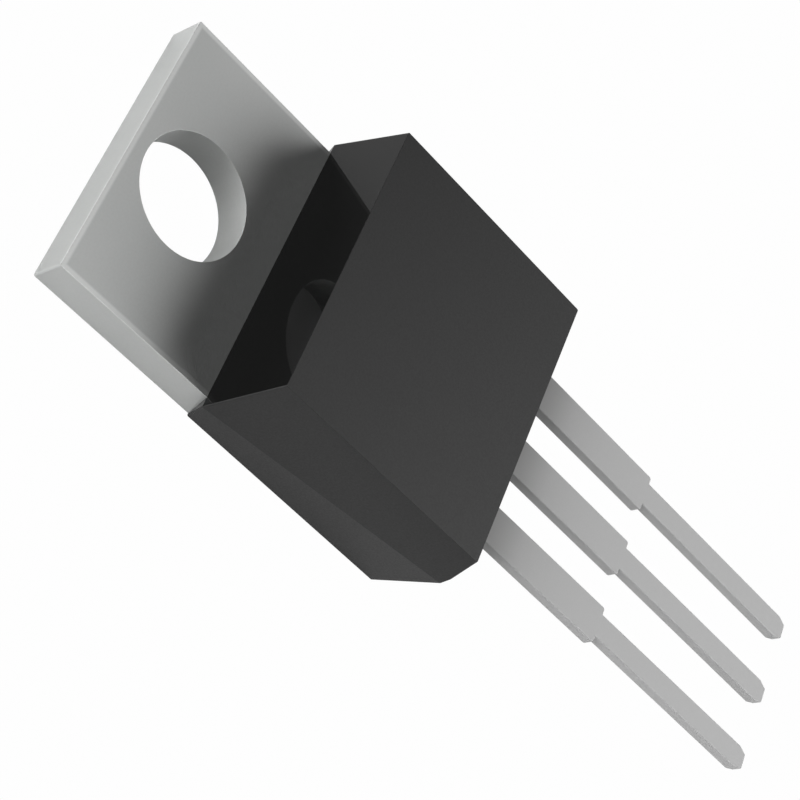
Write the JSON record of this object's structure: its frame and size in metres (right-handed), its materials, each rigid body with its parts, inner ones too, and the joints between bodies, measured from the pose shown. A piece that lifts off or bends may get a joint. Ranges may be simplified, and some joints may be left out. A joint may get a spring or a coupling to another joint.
{
  "type": "power mosfet",
  "caption": "Power MOSFET in a flat-backed package: a plated metal mounting tab with a screw hole, a black epoxy body moulded over it, and flat tinned leads in a row.",
  "frame": {"origin": "centre of the screw hole, in the plane of the tab's flat back", "axes": "+Z out of the front of the part, away from the heat sink; +Y from the body towards the tab's free end, so the leads run along -Y; +X towards the source lead, with the gate lead at -X and the drain lead in the middle"},
  "size_m": [0.0102, 0.0283, 0.0043],
  "materials": {
    "moulding_epoxy": "fine matte, with a glossy end face beside the tab",
    "plated_copper": "satin nickel plating, grey",
    "tinned_lead": "matte tin plating, pale grey",
    "die_solder": "dull solder",
    "silicon": "polished, dark grey",
    "bond_wire": "bright drawn wire"
  },
  "bodies": {
    "root": {"moulded_body": "moulding_epoxy", "drain_tab": "plated_copper", "gate_lead": "tinned_lead", "source_lead": "tinned_lead", "die_solder": "die_solder", "silicon_die": "silicon", "gate_wire": "bond_wire", "source_wire_1": "bond_wire", "source_wire_2": "bond_wire"}
  },
  "joints": []
}
